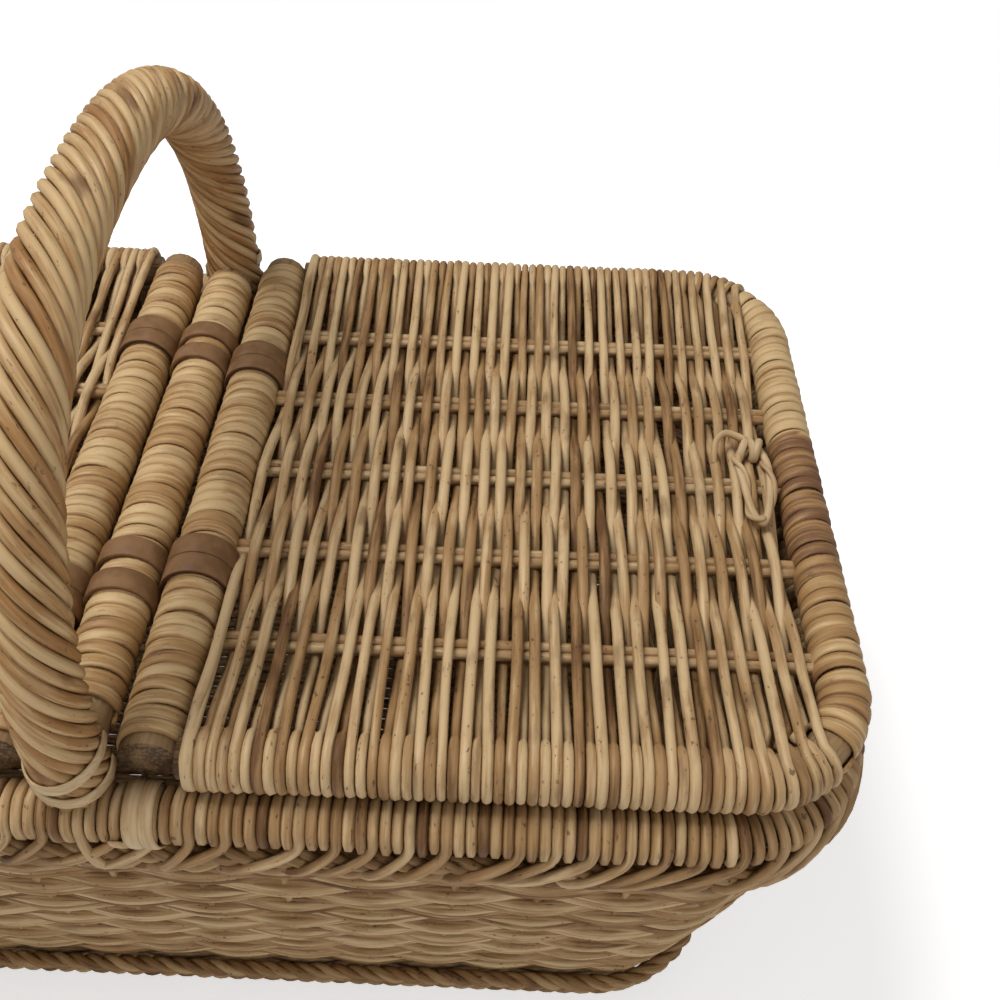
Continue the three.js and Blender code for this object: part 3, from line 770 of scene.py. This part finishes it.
for side, sign in (("right", 1), ("left", -1)):
    for place in ("back", "front"):
        make_strap(f"leather_lace_{side}_{place}", sign * HINGE_X, f"hinge_strap_{side}_{place}")


# Handle


def handle_point(t):
    """The handle's line, from the back foot at 0 to the front foot at 1."""
    angle = math.pi * t
    power = 2 / HANDLE_SQUARENESS
    across = math.copysign(abs(math.cos(angle)) ** power, math.cos(angle))
    rise = abs(math.sin(angle)) ** power
    return Vector((0, HANDLE_HALF * across, HINGE_Z + HANDLE_RISE * rise))


def even_line(count, foot_drop):
    """The handle's line in equal steps, carried on down at both feet, and the lengths along it."""
    fine = [handle_point(i / 2000) for i in range(2001)]
    foot = Vector((0, 0, foot_drop))
    fine = [fine[0] - foot, *fine, fine[-1] - foot]
    lengths = [0.0]
    for a, b in zip(fine, fine[1:]):
        lengths.append(lengths[-1] + (b - a).length)
    goals = np.linspace(0, lengths[-1], count)
    axes = np.array([list(point) for point in fine]).T
    line = [Vector([np.interp(goal, lengths, axis) for axis in axes]) for goal in goals]
    return line, goals


def handle_rods():
    """Rods twisted side by side round the bow, browner towards both feet."""
    line, lengths = even_line(180, HANDLE_FOOT)
    rods = []
    wind = HANDLE_R - HANDLE_ROD
    across = Vector((1, 0, 0))
    for index in range(HANDLE_RODS):
        start = 2 * math.pi * index / HANDLE_RODS
        points = []
        for i, (centre, length) in enumerate(zip(line, lengths)):
            along = (line[min(i + 1, len(line) - 1)] - line[max(i - 1, 0)]).normalized()
            side = across.cross(along)
            angle = start + 2 * math.pi * length / HANDLE_LAY
            radius = wind + 0.25 * MM * noise.noise((length * 40, index * 3.1, 0))
            turned = across * radius * math.cos(angle) + side * radius * math.sin(angle)
            points.append(centre + turned)
        base = rod_tone()
        tones = []
        for length in lengths:
            share = length / lengths[-1]
            # Darker towards both feet
            darkened = 0.14 * max(0, 1 - share / 0.4) + 0.12 * max(0, (share - 0.7) / 0.3)
            tones.append(base + darkened + 0.12 * noise.noise((length * 9, index * 7.7, 5)))
        rods.append(Rod(points, tones))
    return rods


twist = bend_rods("handle rods", handle_rods(), HANDLE_ROD)
settle(twist, "handle_twist", handle_willow, "basket", ["handle_rods"])


# Body


def wall_plan(z):
    """Half length, half width and corner of the wall at a height."""
    t = z / RIM_Z
    belly = WALL_BELLY * math.sin(math.pi * t)
    return (
        BASE_X + (RIM_X - BASE_X) * t + belly,
        BASE_Y + (RIM_Y - BASE_Y) * t + belly,
        BASE_CORNER + (RIM_CORNER - BASE_CORNER) * t,
    )


RIM_PLAN = (RIM_X, RIM_Y, RIM_CORNER)
BASE_PLAN = (BASE_X, BASE_Y, BASE_CORNER)
long_side, short_side = 2 * (RIM_X - RIM_CORNER), 2 * (RIM_Y - RIM_CORNER)
bend = math.pi / 2 * RIM_CORNER
half_round = [bend, long_side, bend]
STRETCHES = [short_side / 2, *half_round, short_side, *half_round, short_side / 2]
RIM_LENGTH = 2 * (long_side + short_side) + 4 * bend


def round_plan(plan, u, offset=0.0):
    """The plan's point and outward direction at a share u of the way round from the right end."""
    half_x, half_y, corner = plan
    x, y = half_x - corner, half_y - corner
    way = (u % 1.0) * RIM_LENGTH
    stretch = 0
    while stretch < len(STRETCHES) - 1 and way > STRETCHES[stretch]:
        way -= STRETCHES[stretch]
        stretch += 1
    t = way / STRETCHES[stretch]
    straights = {
        0: ((half_x, 0), (half_x, y), (1, 0)),
        2: ((x, half_y), (-x, half_y), (0, 1)),
        4: ((-half_x, y), (-half_x, -y), (-1, 0)),
        6: ((-x, -half_y), (x, -half_y), (0, -1)),
        8: ((half_x, -y), (half_x, 0), (1, 0)),
    }
    if stretch in straights:
        a, b, out = (Vector(v) for v in straights[stretch])
        spot = a.lerp(b, t)
    else:
        centre = {1: (x, y), 3: (-x, y), 5: (-x, -y), 7: (x, -y)}[stretch]
        angle = math.radians(45 * (stretch - 1) + 90 * t)
        out = Vector((math.cos(angle), math.sin(angle)))
        spot = Vector(centre) + out * corner
    return (spot + out * offset).to_3d(), out.to_3d()


def ring_line(plan, z, count=160):
    """A plain closed line round a plan."""
    return [round_plan(plan, i / count)[0] + Vector((0, 0, z)) for i in range(count)]


def patched_tones(count, low, high, longest):
    """A row is woven from several rods, so its colour changes along it."""
    tones = []
    while len(tones) < count:
        common = chance.random() < 0.8
        tone = chance.uniform(low, high) if common else chance.uniform(0.5, 0.8)
        tones += [tone] * chance.randint(longest // 3, longest)
    return tones[:count]


def wall_rows(first, last):
    """Weavers in and out of the stakes, slewed, with a dark filler rod as painted shade in each
    slew's seam.
    """
    rods = []
    per = 6
    count = WALL_STAKES * per
    for row in range(first, last):
        height = wall_low.z + (row + 0.5) * WALL_ROW
        line = []
        for i in range(count):
            wave = math.cos(math.pi * i / per + math.pi * (row // WALL_SLEW % 2))
            z = height + 0.5 * MM * noise.noise((i * 0.13, row * 4.7, 0))
            spot, _ = round_plan(wall_plan(z), i / count, WALL_SWING * wave)
            line.append(spot + Vector((0, 0, z)))
        rods.append(Rod(line, patched_tones(count, 0.12, 0.5, 150), closed=True))
        # Painted shade: a dark filler rod closes the slot between slews, where only shade shows
        if row % WALL_SLEW == 0:
            seam = height - WALL_ROW / 2
            rods.append(Rod(ring_line(wall_plan(seam), seam), 0.6, closed=True))
    return rods


WALL_ROWS = round((wall_high.z - wall_low.z) / WALL_ROW)
half_way = WALL_ROWS // 2
rows = bend_rods("lower wall", wall_rows(0, half_way), WALL_WEAVER, 6)
settle(rows, "wall_weavers_lower", willow, "basket", ["side_wall"])
rows = bend_rods("upper wall", wall_rows(half_way, WALL_ROWS), WALL_WEAVER, 6)
settle(rows, "wall_weavers_upper", willow, "basket")


def wall_stakes():
    """Upright stakes from the foot to the rim."""
    rods = []
    for index in range(WALL_STAKES):
        line = []
        for z in np.linspace(FOOT_Z, RIM_Z, 8):
            spot, _ = round_plan(wall_plan(z), index / WALL_STAKES)
            line.append(spot + Vector((0, 0, z)))
        rods.append(Rod(line, chance.uniform(0.3, 0.6)))
    return rods


stakes = bend_rods("wall stakes", wall_stakes(), WALL_STAKE, 6)
settle(stakes, "wall_stakes", old_willow, "basket")


def rope(plan_at, z, offset, strands, radius, turns, lean=1, per=10):
    """Strands twisted into a rope round the body."""
    rods = []
    count = turns * per
    wind = radius * (1.0 if strands == 3 else 1.32)
    for strand in range(strands):
        line = []
        for i in range(count):
            angle = lean * 2 * math.pi * (i / per) + 2 * math.pi * strand / strands
            height = z + wind * math.sin(angle)
            spot, _ = round_plan(plan_at(height), i / count, offset + wind * math.cos(angle))
            line.append(spot + Vector((0, 0, height)))
        rods.append(Rod(line, patched_tones(count, 0.2, 0.55, 160), closed=True))
    return rods


def make_wale(name, node):
    """Two ropes of opposite twist, one on the other."""
    low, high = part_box(node)
    reach = 4.2 * MM + 1.6 * WALE_ROD
    middle, lift = (low.z + high.z) / 2, (high.z - low.z) / 4
    rods = rope(wall_plan, middle - lift, reach, 3, WALE_ROD, WALE_TURNS)
    rods += rope(wall_plan, middle + lift, reach, 3, WALE_ROD, WALE_TURNS, lean=-1)
    settle(bend_rods(name, rods, WALE_ROD, 6), name, old_willow, "basket", [node])


make_wale("lower_wale_rods", "lower_wale")
make_wale("upper_wale_rods", "upper_wale")
foot = bend_rods("foot", rope(lambda z: BASE_PLAN, FOOT_Z, 0, 4, FOOT_ROD, FOOT_TURNS), FOOT_ROD)
settle(foot, "foot_border_rods", old_willow, "basket", ["foot_border"])


# Steps along the rim, down from it and out from it, in shares of the slip and in millimetres
SLANT = ((0.1, 4, 8.8), (0.45, 8, 9.7), (1.0, 13, 10.2), (1.6, 18, 9.0), (2.2, 22, 5.0))


def border_rods():
    """Rods lie over the rim side by side: most turn in under it, the others slant down."""
    rods = []
    count = round(RIM_LENGTH / (2 * BORDER_ROD * 1.03))
    wrap = RIM_R - BORDER_ROD
    rim = Vector((0, 0, RIM_Z))
    for index in range(count):
        u = index / count
        spot, out = round_plan(RIM_PLAN, u)
        slants = index % 3 == 0 and chance.random() < 0.9
        drop = chance.uniform(0.0, 3.5) * MM
        knots = [round_rod(spot + rim, out, wrap, angle) for angle in (230, 180, 130, 80, 30, 0)]
        if slants:
            way = chance.uniform(7, 18)
            slip = way * chance.choice((1,) * 7 + (-0.4,)) * MM / RIM_LENGTH
            for step, down, reach in SLANT:
                low_spot, low_out = round_plan(RIM_PLAN, u - slip * step)
                low = Vector((0, 0, RIM_Z - down * MM))
                knots.append(low_spot + low_out * (reach * MM) + low)
        else:
            for angle in (-35, -75, -115):
                angle = math.radians(angle)
                low = Vector((0, 0, RIM_Z - drop + 0.55 * wrap * math.sin(angle)))
                knots.append(spot + out * wrap * math.cos(angle) + low)
        rods.append(Rod(smooth_line(knots, 2), rod_tone() + 0.2, grown_girth()))
    rods.append(Rod(ring_line(RIM_PLAN, RIM_Z), 0.6, (3.1, 3.1), closed=True))
    return rods


border = bend_rods("top border", border_rods(), BORDER_ROD, 6)
settle(border, "top_border_rods", willow, "basket", ["top_border"])


def inside_corner(across, half_along, half_across, corner):
    """How far a rod of the base reaches before it meets the rounded corner."""
    inset = max(0.0, abs(across) - (half_across - corner))
    return half_along - (corner - math.sqrt(max(corner**2 - inset**2, 0)))


def base_rods():
    """Weavers along the base pass over and under the sticks that lie across it."""
    rods = []
    middle = (base_low.z + base_high.z) / 2
    reach_x, reach_y = BASE_X - FOOT_ROD, BASE_Y - FOOT_ROD
    corner = BASE_CORNER - FOOT_ROD
    for row in range(int(2 * reach_y / BASE_PITCH)):
        y = -reach_y + (row + 0.5) * BASE_PITCH
        limit = inside_corner(y, reach_x, reach_y, corner)
        line = []
        for x in np.linspace(-limit, limit, BASE_STICKS * 4 + 1):
            phase = math.pi * BASE_STICKS * (x + reach_x) / (2 * reach_x) + math.pi * (row % 2)
            line.append((x, y, middle + MM * math.cos(phase)))
        rods.append(Rod(line, chance.uniform(0.15, 0.55)))
    for index in range(1, BASE_STICKS):
        x = -reach_x + 2 * reach_x * index / BASE_STICKS
        limit = inside_corner(x, reach_y, reach_x, corner)
        line = [(x, y, middle) for y in (-limit, 0, limit)]
        rods.append(Rod(line, 0.5, (1.1, 1.1)))
    return rods


base = bend_rods("base", base_rods(), BASE_ROD, 6)
settle(base, "base_rods", old_willow, "basket", ["base_panel"])


# Bare sticks


def stick(name, line, radius, body, node, sides=16):
    """A peeled stick with dark cut ends."""
    tone = np.full(len(line), 0.45)
    tone[[0, -1]] = 0.85
    mesh = bend_rods(name, [Rod(line, tone)], radius, sides)
    settle(mesh, name, bare_stick, body, [node])


def straight_line(x, half):
    """A straight stick along the hinge line, with its end rings close to the cut ends."""
    inner = np.linspace(-half + 2 * MM, half - 2 * MM, 24)
    runs = [-half, -half + 0.3 * MM, *inner, half - 0.3 * MM, half]
    return [Vector((x, run, HINGE_Z)) for run in runs]


def hoop_line():
    """The hoop from its back end round both corners to its front end."""
    runs = [*np.linspace(hoop_low.x, LID_CORNER_X, 12)[:-1]]
    runs += [LID_CORNER_X + math.radians(9 * i) * HOOP_CORNER for i in range(11)]
    half = [hoop_edge(run)[0] + Vector((0, 0, HINGE_Z)) for run in runs]
    return half + [TO_FRONT @ point for point in reversed(half)]


def bow_line():
    """The bow runs inside the twist, through the middle bar's ends and down inside both walls."""
    line, _ = even_line(60, 0.0)
    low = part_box("handle_bow")[0].z
    legs = []
    for z in np.linspace(low, HINGE_Z - BAR_R, 9):
        half_y = wall_plan(z)[1] - 4 * MM - BOW_R - 0.6 * MM
        legs.append(Vector((0, min(half_y, HANDLE_HALF), z)))
    return legs + line + [TO_FRONT @ point for point in reversed(legs)]


stick("bow_stick", bow_line(), BOW_R, "basket", "handle_bow")
stick("middle_stick", straight_line(0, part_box("middle_bar")[1].y), BAR_R, "basket", "middle_bar")
for side, matrix in SIDES.items():
    body = f"lid_{side}"
    line = [matrix @ point for point in straight_line(HINGE_X, BAR_HALF)]
    stick(f"lid_stick_{side}", line, BAR_R, body, f"lid_bar_{side}")
    line = [matrix @ point for point in hoop_line()]
    stick(f"lid_hoop_stick_{side}", line, HOOP_R, body, f"lid_hoop_{side}")


# Pull loops


def loop_line():
    """A drop-shaped loop: its short bar lies under the knot, its tip towards the front."""
    low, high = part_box("pull_loop_right")
    x, z = (low.x + high.x) / 2, (low.z + high.z) / 2
    bar, tip = LOOP_Y, low.y + 1.8 * MM
    half = 0.72 * ((high.x - low.x) / 2 - 1.8 * MM)
    knots = [
        (x, bar, z),
        (x + 0.62 * half, bar - 0.6 * MM, z),
        (x + 0.98 * half, bar - 8 * MM, z),
        (x + 0.85 * half, bar - 20 * MM, z + 0.6 * MM),
        (x + 0.42 * half, tip + 5 * MM, z + 0.4 * MM),
        (x, tip, z),
        (x - 0.5 * half, tip + 6 * MM, z - 0.3 * MM),
        (x - 0.8 * half, bar - 18 * MM, z),
        (x - 0.95 * half, bar - 8 * MM, z + 0.3 * MM),
        (x - 0.6 * half, bar - 0.4 * MM, z),
        (x, bar, z),
    ]
    return smooth_line(knots, 12)[:-1]


def wound_withy(line, wind, turns):
    """A thinner withy that winds round the loop."""
    points = []
    for i, centre in enumerate(line):
        along = (line[(i + 1) % len(line)] - line[i - 1]).normalized()
        flat = along.cross(Vector((0, 0, 1)))
        angle = 360 * turns * i / len(line) + math.degrees(1.2)
        points.append(round_rod(centre, flat, wind, angle))
    return Rod(points, 0.42, (0.7, 0.7), closed=True)


TAIL = (
    (-2, 3.4, 2.5),
    (-6, 6.5, 2.2),
    (-10, 7.2, 2.4),
    (-13.5, 3.5, 1.6),
    (-14.6, -2, -0.6),
    (-14.5, -5, -3),
)


def knot_rods():
    """Three turns of cane over the loop's bar, down into the weave on both sides, and a tail."""
    rods = []
    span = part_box("pull_loop_knot_right")[1].y - LOOP_Y - 1.6 * MM
    for shift, lean in ((-3.0, 1.6), (-0.2, -0.8), (2.6, 1.2)):
        knots = []
        for turn in range(-30, 211, 30):
            angle = math.radians(turn)
            x = LOOP_X + shift * MM + lean * MM * math.cos(angle)
            lift = max(-2 * MM, span * math.sin(angle))
            knots.append((x, LOOP_Y + span * math.cos(angle), LOOP_Z + lift))
        rods.append(Rod(smooth_line(knots, 4), 0.25))
    tail = [(LOOP_X + x * MM, LOOP_Y + y * MM, LOOP_Z + z * MM) for x, y, z in TAIL]
    rods.append(Rod(smooth_line(tail, 5), 0.35, (1.0, 0.7)))
    return rods


for side, matrix in SIDES.items():
    strands = [Rod(loop_line(), 0.3, closed=True), wound_withy(loop_line(), 1.9 * MM, 4)]
    loop = bend_rods("loop", [rod.turned(matrix) for rod in strands], LOOP_ROD)
    node = f"pull_loop_{side}"
    settle(loop, f"twisted_loop_{side}", pale_cane, node, [node])
    knot = bend_rods("knot", [rod.turned(matrix) for rod in knot_rods()], KNOT_ROD)
    node = f"pull_loop_knot_{side}"
    settle(knot, f"loop_knot_{side}", pale_cane, f"lid_{side}", [node])


# Lashings of the handle's feet


def around_rim(sign):
    """Points round the front or back rim, which lies along X."""

    def place(run, angle, radius):
        y, z = RIM_Y + radius * math.cos(angle), RIM_Z + radius * math.sin(angle)
        return Vector((run, sign * y, z))

    return place


def peel_strips(name, lines, width):
    """Thin flat strips of peel, each bent along its own line."""
    curve = new_curve(name, STRIP_THICKNESS, 1)
    curve.twist_mode = "Z_UP"
    curve.extrude = width / 2
    curve.use_fill_caps = True
    for line in lines:
        add_line(curve, line)
    mesh = curve_mesh(curve)
    x, y, z = np.array([vert.co[:] for vert in mesh.vertices]).T
    set_fibre(mesh, np.stack([x * 0.5, z, y * 0.5], 1), np.full(len(x), 0.3))
    return mesh


def foot_strip_lines(sign):
    """Each strip passes round the outside of a foot, from side to side of the middle bar."""
    lines = []
    reach = HANDLE_R + 0.5 * MM
    for rise, slope in ((5.5, 3.5), (-2.0, -2.5)):
        line = []
        for i in range(25):
            angle = math.radians(-15 + 210 * i / 24)
            x, out = reach * math.cos(angle), reach * math.sin(angle)
            z = HINGE_Z + (rise + slope * math.cos(angle) - 3.5 * math.sin(angle)) * MM
            line.append(Vector((x, sign * (HANDLE_HALF + out), z)))
        lines.append(line)
    return lines


for place, sign in (("front", -1), ("back", 1)):
    strips = peel_strips("foot strips", foot_strip_lines(sign), STRIP_WIDTH)
    settle(strips, f"foot_strips_{place}", pale_cane, "basket")
    node = f"handle_lashing_{place}"
    low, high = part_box(node)
    inner = RIM_R + 0.25 * MM
    tones = cane_tone(0.05, 0.3, 1.0, place)
    lashing = wind_cane(
        low.x, high.x, LASHING_PITCH, inner, LASHING_THICKNESS, around_rim(sign), tones
    )
    settle(lashing, f"foot_lashing_{place}", pale_cane, "basket", [node])


# Stage, light and camera


def make_stage():
    """A pale floor that keeps the basket's shadow and is plain white away from it."""
    work = bmesh.new()
    bmesh.ops.create_grid(work, x_segments=1, y_segments=1, size=6)
    mesh = bpy.data.meshes.new("floor")
    work.to_mesh(mesh)
    work.free()
    floor = bpy.data.objects.new("floor", mesh)
    bpy.context.scene.collection.objects.link(floor)
    material, tree, shader = new_material("white floor")
    shader.inputs["Base Color"].default_value = (0.9, 0.9, 0.9, 1)
    shader.inputs["Roughness"].default_value = 0.9
    glow = add_node(tree, "ShaderNodeEmission", {"Color": (1, 1, 1, 1)})
    white = add_node(tree, "ShaderNodeEmission", {"Color": (1, 1, 1, 1), "Strength": 1.0})
    path = add_node(tree, "ShaderNodeLightPath").outputs["Is Camera Ray"]
    tree.links.new(math_node(tree, "MULTIPLY", path, 0.5), glow.inputs["Strength"])
    both = add_node(tree, "ShaderNodeAddShader")
    tree.links.new(shader.outputs[0], both.inputs[0])
    tree.links.new(glow.outputs[0], both.inputs[1])
    away = add_node(tree, "ShaderNodeVectorMath", operation="LENGTH")
    tree.links.new(add_node(tree, "ShaderNodeTexCoord").outputs["Object"], away.inputs[0])
    plain = math_node(tree, "MULTIPLY", spread(tree, away.outputs["Value"], 0.45, 1.0), path)
    fade = add_node(tree, "ShaderNodeMixShader")
    tree.links.new(plain, fade.inputs["Fac"])
    tree.links.new(both.outputs[0], fade.inputs[1])
    tree.links.new(white.outputs[0], fade.inputs[2])
    tree.links.new(fade.outputs[0], tree.nodes["Material Output"].inputs["Surface"])
    mesh.materials.append(material)


def area_light(name, place, target, size, power):
    lamp = bpy.data.lights.new(name, "AREA")
    lamp.shape = "DISK"
    lamp.size = size
    lamp.energy = power
    holder = bpy.data.objects.new(name, lamp)
    bpy.context.scene.collection.objects.link(holder)
    holder.location = place
    holder.rotation_euler = (Vector(target) - Vector(place)).to_track_quat("-Z", "Y").to_euler()


def make_world():
    world = bpy.data.worlds.new("soft room")
    bpy.context.scene.world = world
    world.use_nodes = True
    tree = world.node_tree
    backdrop = tree.nodes["Background"]
    backdrop.inputs["Color"].default_value = (1, 1, 1, 1)
    path = add_node(tree, "ShaderNodeLightPath").outputs["Is Camera Ray"]
    tree.links.new(spread(tree, path, 0, 1, 0.26, 1.0), backdrop.inputs["Strength"])


# The viewing place, in the basket's own frame
CAMERA_PLACE = Vector((0.1343, -0.3262, 0.5223))
CAMERA_RIGHT = Vector((0.9992, 0.0320, 0.0257))
CAMERA_UP = Vector((-0.0408, 0.7095, 0.7036))
CAMERA_FOCUS = 1140.2 / 1000  # focal length as a share of the picture's width


def make_camera():
    data = bpy.data.cameras.new("camera")
    data.sensor_width = 36
    data.lens = 36 * CAMERA_FOCUS
    data.clip_start = 0.01
    camera = bpy.data.objects.new("camera", data)
    bpy.context.scene.collection.objects.link(camera)
    right = CAMERA_RIGHT.normalized()
    back = right.cross(CAMERA_UP).normalized()
    up = back.cross(right)
    turn = Matrix((right, up, back)).transposed().to_4x4()
    camera.matrix_world = Matrix.Translation(CAMERA_PLACE) @ turn
    bpy.context.scene.camera = camera


make_stage()
make_world()
make_camera()
area_light("high soft light", (-0.7, 0.15, 2.0), (0, 0, 0.15), 1.0, 32)
area_light("front soft light", (0.9, -1.6, 1.2), (0, 0, 0.15), 1.4, 11)
bpy.context.scene.view_settings.view_transform = "Standard"
